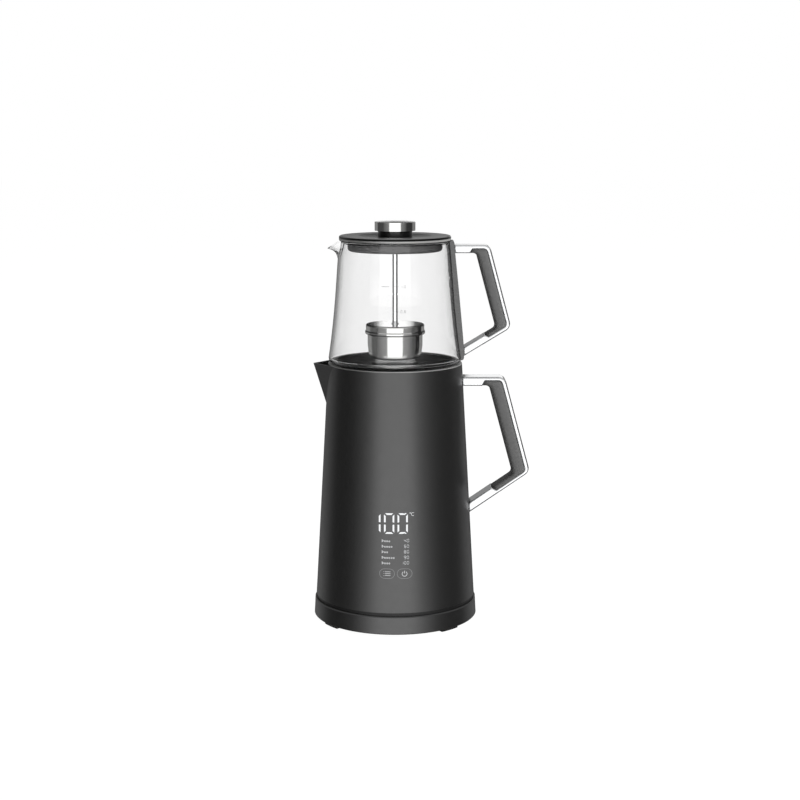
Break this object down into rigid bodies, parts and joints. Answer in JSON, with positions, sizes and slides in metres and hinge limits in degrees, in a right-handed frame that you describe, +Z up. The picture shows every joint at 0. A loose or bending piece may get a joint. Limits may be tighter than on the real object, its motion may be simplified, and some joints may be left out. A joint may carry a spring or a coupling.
{
  "type": "tea maker",
  "caption": "Electric kettle on a power base with a glass teapot stacked on its rim; a knob on the teapot lid raises and lowers a tea infuser on a rod.",
  "frame": {"origin": "on the vertical axis of the base, in the plane that the rubber feet rest on", "axes": "+Z up along the axis of the base, kettle and teapot, +X towards the handles, -Y towards the display"},
  "size_m": [0.2077, 0.158, 0.3841],
  "materials": {
    "graphite_plastic": "moulded, fine satin surface, graphite",
    "black_plastic": "moulded, matt black",
    "base_rubber": "moulded soft rubber, black",
    "clear_silicone": "translucent silicone",
    "zinc_steel": "zinc plated screws and nuts",
    "contact_brass": "bare contact brass",
    "steel_tank": "drawn stainless steel, brushed",
    "heater_aluminium": "cast and turned",
    "element_steel": "annealed tube",
    "board_green": "glass-fibre circuit board",
    "relay_blue": "moulded case",
    "key_plastic": "light-passing smoked plastic",
    "chrome_trim": "polished chrome plate",
    "grip_plastic": "soft-touch grey",
    "teapot_clear": "clear blown borosilicate",
    "polished_steel": "pressed stainless steel, polished",
    "plug_plastic": "moulded, satin grey"
  },
  "bodies": {
    "base": {"base_shell": "graphite_plastic", "base_plate": "black_plastic", "base_feet": "base_rubber", "base_screws": "zinc_steel", "base_connector": "black_plastic", "base_contacts": "contact_brass", "cord_gland": "base_rubber"},
    "kettle": {"kettle_bottom_cover": "black_plastic", "kettle_cover_screws": "zinc_steel", "kettle_coupler": "black_plastic", "coupler_contacts": "contact_brass", "kettle_shell": "graphite_plastic", "kettle_tank": "steel_tank", "tank_seal": "clear_silicone", "kettle_collar": "plug_plastic", "heater_plate": "heater_aluminium", "heating_element": "element_steel", "thermal_cutout": "black_plastic", "temperature_sensor": "polished_steel", "sensor_grommet": "clear_silicone", "power_board": "board_green", "relay": "relay_blue", "display_mask": "black_plastic", "display_board": "board_green", "touch_pads": "key_plastic", "kettle_handle_bar": "chrome_trim", "kettle_handle_grip": "grip_plastic", "kettle_handle_screws": "zinc_steel"},
    "teapot": {"teapot_glass": "teapot_clear", "teapot_strap": "chrome_trim", "teapot_handle_bar": "chrome_trim", "teapot_handle_grip": "grip_plastic", "teapot_handle_screws": "zinc_steel", "handle_clip": "polished_steel", "clip_rivet": "polished_steel"},
    "teapot_lid": {"lid_plate": "graphite_plastic", "lid_trim": "chrome_trim", "lid_plug": "plug_plastic", "lid_seal": "clear_silicone", "rod_guide": "black_plastic"},
    "infuser": {"knob_insert": "black_plastic", "knob_cap": "chrome_trim", "rod_nut": "zinc_steel", "infuser_rod": "polished_steel", "infuser_nut": "zinc_steel", "infuser_cover": "polished_steel"},
    "infuser_cup": {"infuser_cup": "polished_steel"}
  },
  "joints": [
    {"name": "kettle_lift", "type": "slide", "parent": "base", "child": "kettle", "axis": [0, 0, 1], "range_m": [0, 0.06]},
    {"name": "teapot_lift", "type": "slide", "parent": "kettle", "child": "teapot", "axis": [0, 0, 1], "range_m": [0, 0.06]},
    {"name": "teapot_lid_lift", "type": "slide", "parent": "teapot", "child": "teapot_lid", "axis": [0, 0, 1], "range_m": [0, 0.13]},
    {"name": "infuser_lift", "type": "slide", "parent": "teapot_lid", "child": "infuser", "axis": [0, 0, 1], "range_m": [0, 0.048]},
    {"name": "infuser_cup_twist", "type": "hinge", "parent": "infuser", "child": "infuser_cup", "pos_m": [0, 0, 0.262], "axis": [0, 0, 1], "range_deg": [0, 30]}
  ]
}
